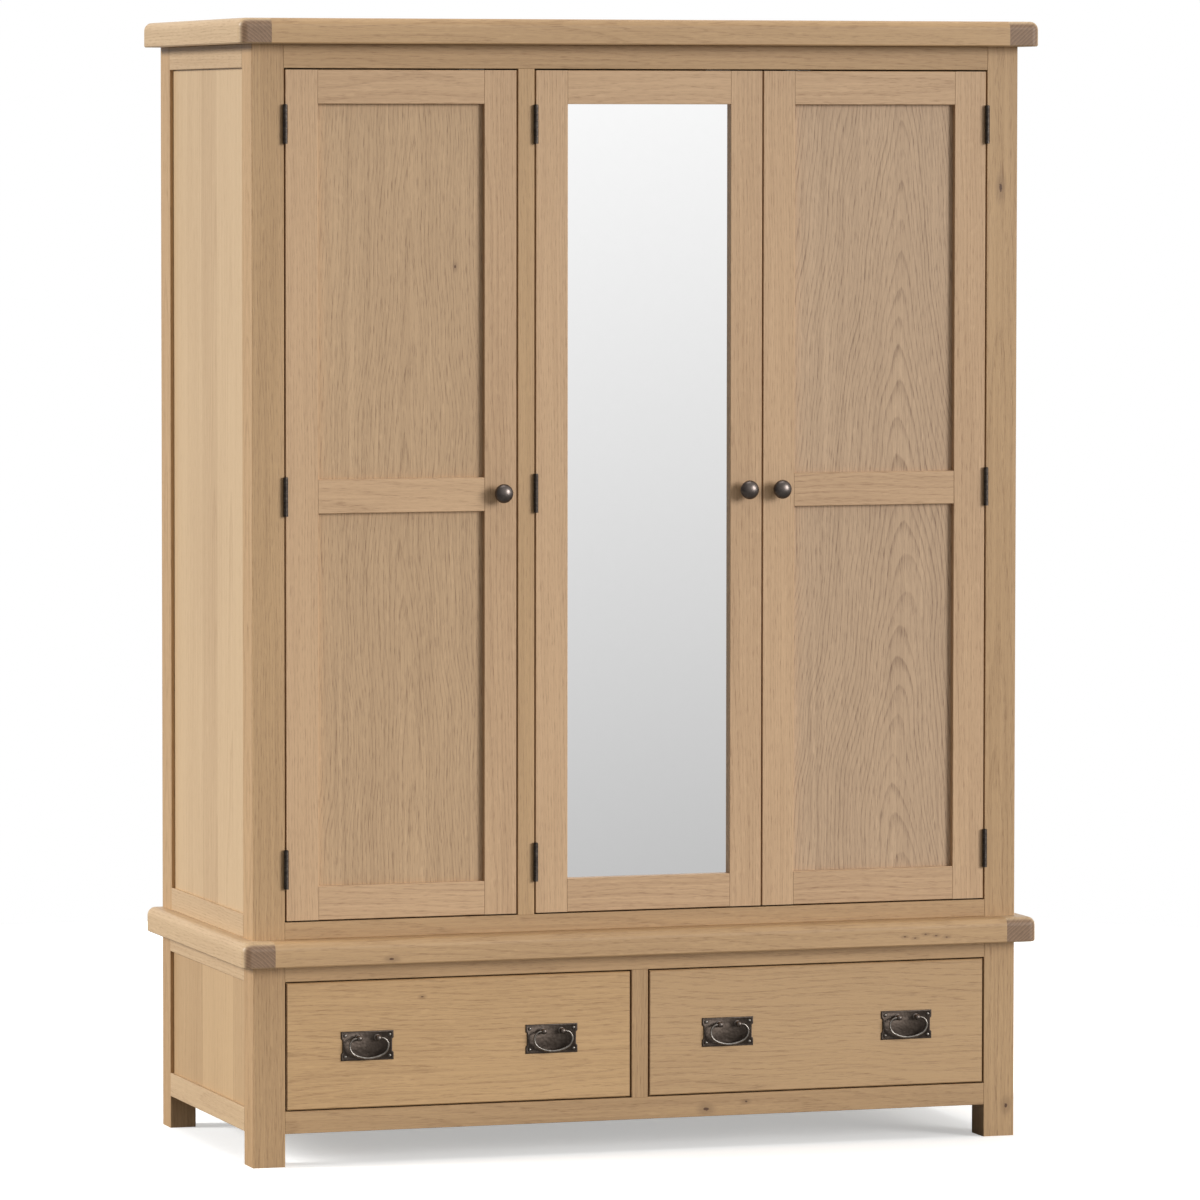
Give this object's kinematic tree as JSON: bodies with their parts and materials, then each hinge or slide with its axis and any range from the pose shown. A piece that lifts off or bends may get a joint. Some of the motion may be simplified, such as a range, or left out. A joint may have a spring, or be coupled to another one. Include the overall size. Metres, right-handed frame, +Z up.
{
  "type": "wardrobe",
  "caption": "Oak wardrobe with framed panel doors, a mirror door, drawers with bail handles below, and hanging rails inside.",
  "frame": {"origin": "on the floor, at the bottom centre of the whole object's box", "axes": "+Z up, +X to the right seen from the front, the front faces -Y"},
  "size_m": [1.408, 0.613, 1.9],
  "materials": {
    "oak": "satin lacquered natural oak",
    "oak_panel": "satin lacquered oak veneer",
    "plain_inner_wood": "plain unlacquered light wood",
    "ply_back": "plain plywood",
    "dark_pewter": "dark antiqued pewter, worn bright on raised edges",
    "bright_steel": "polished plated steel",
    "catch_plastic": "matt",
    "mirror": "silvered glass"
  },
  "bodies": {
    "carcass": {"base_front_legs": "oak", "base_back_legs": "oak", "base_bottom_rail": "oak", "base_top_rail": "oak", "base_divider": "oak", "base_side_rails": "oak", "base_side_panels": "oak_panel", "base_partition": "plain_inner_wood", "drawer_runners": "plain_inner_wood", "base_top_front": "oak", "base_top_sides": "oak", "base_top_panel": "oak", "upper_front_posts": "oak", "upper_back_stiles": "oak", "upper_bottom_rail": "oak", "upper_top_rail": "oak", "upper_mullion": "oak", "upper_side_rails": "oak", "upper_side_panels": "oak_panel", "upper_floor": "oak", "upper_partition": "oak", "base_back_panel": "ply_back", "upper_back_panel": "ply_back", "back_rails": "plain_inner_wood", "hanging_rails": "bright_steel", "rail_sockets": "bright_steel", "cornice_front": "oak", "cornice_sides": "oak", "cornice_panel": "oak", "hinge_frame_leaves": "dark_pewter", "hinge_pins": "dark_pewter", "door_catches": "catch_plastic"},
    "left_door": {"door_left_stiles": "oak", "door_left_rails": "oak", "door_left_panels": "oak_panel", "door_left_knob": "dark_pewter", "door_left_hinge_leaves": "dark_pewter"},
    "mirror_door": {"door_mirror_stiles": "oak", "door_mirror_rails": "oak", "mirror_glass": "mirror", "mirror_backing": "ply_back", "door_mirror_knob": "dark_pewter", "door_mirror_hinge_leaves": "dark_pewter"},
    "right_door": {"door_right_stiles": "oak", "door_right_rails": "oak", "door_right_panels": "oak_panel", "door_right_knob": "dark_pewter", "door_right_hinge_leaves": "dark_pewter"},
    "left_drawer": {"drawer_left_front": "oak", "drawer_left_box": "plain_inner_wood", "drawer_left_bottom": "plain_inner_wood", "drawer_left_handle_plates": "dark_pewter"},
    "left_drawer_left_bail": {"drawer_left_bail_left": "dark_pewter"},
    "left_drawer_right_bail": {"drawer_left_bail_right": "dark_pewter"},
    "right_drawer": {"drawer_right_front": "oak", "drawer_right_box": "plain_inner_wood", "drawer_right_bottom": "plain_inner_wood", "drawer_right_handle_plates": "dark_pewter"},
    "right_drawer_left_bail": {"drawer_right_bail_left": "dark_pewter"},
    "right_drawer_right_bail": {"drawer_right_bail_right": "dark_pewter"}
  },
  "joints": [
    {"name": "left_door_hinge", "type": "hinge", "parent": "carcass", "child": "left_door", "pos_m": [-0.61875, -0.2726, 1.1115], "axis": [0, 0, -1], "range_deg": [0, 110]},
    {"name": "mirror_door_hinge", "type": "hinge", "parent": "carcass", "child": "mirror_door", "pos_m": [-0.18525, -0.2726, 1.1115], "axis": [0, 0, -1], "range_deg": [0, 110]},
    {"name": "right_door_hinge", "type": "hinge", "parent": "carcass", "child": "right_door", "pos_m": [0.61875, -0.2726, 1.1115], "axis": [0, 0, 1], "range_deg": [0, 110]},
    {"name": "left_drawer_slide", "type": "slide", "parent": "carcass", "child": "left_drawer", "axis": [0, -1, 0], "range_m": [0, 0.4]},
    {"name": "left_drawer_left_bail_pivot", "type": "hinge", "parent": "left_drawer", "child": "left_drawer_left_bail", "pos_m": [-0.47825, -0.2795, 0.211], "axis": [-1, 0, 0], "range_deg": [0, 85]},
    {"name": "left_drawer_right_bail_pivot", "type": "hinge", "parent": "left_drawer", "child": "left_drawer_right_bail", "pos_m": [-0.15625, -0.2795, 0.211], "axis": [-1, 0, 0], "range_deg": [0, 85]},
    {"name": "right_drawer_slide", "type": "slide", "parent": "carcass", "child": "right_drawer", "axis": [0, -1, 0], "range_m": [0, 0.4]},
    {"name": "right_drawer_left_bail_pivot", "type": "hinge", "parent": "right_drawer", "child": "right_drawer_left_bail", "pos_m": [0.15625, -0.2795, 0.211], "axis": [-1, 0, 0], "range_deg": [0, 85]},
    {"name": "right_drawer_right_bail_pivot", "type": "hinge", "parent": "right_drawer", "child": "right_drawer_right_bail", "pos_m": [0.47825, -0.2795, 0.211], "axis": [-1, 0, 0], "range_deg": [0, 85]}
  ]
}
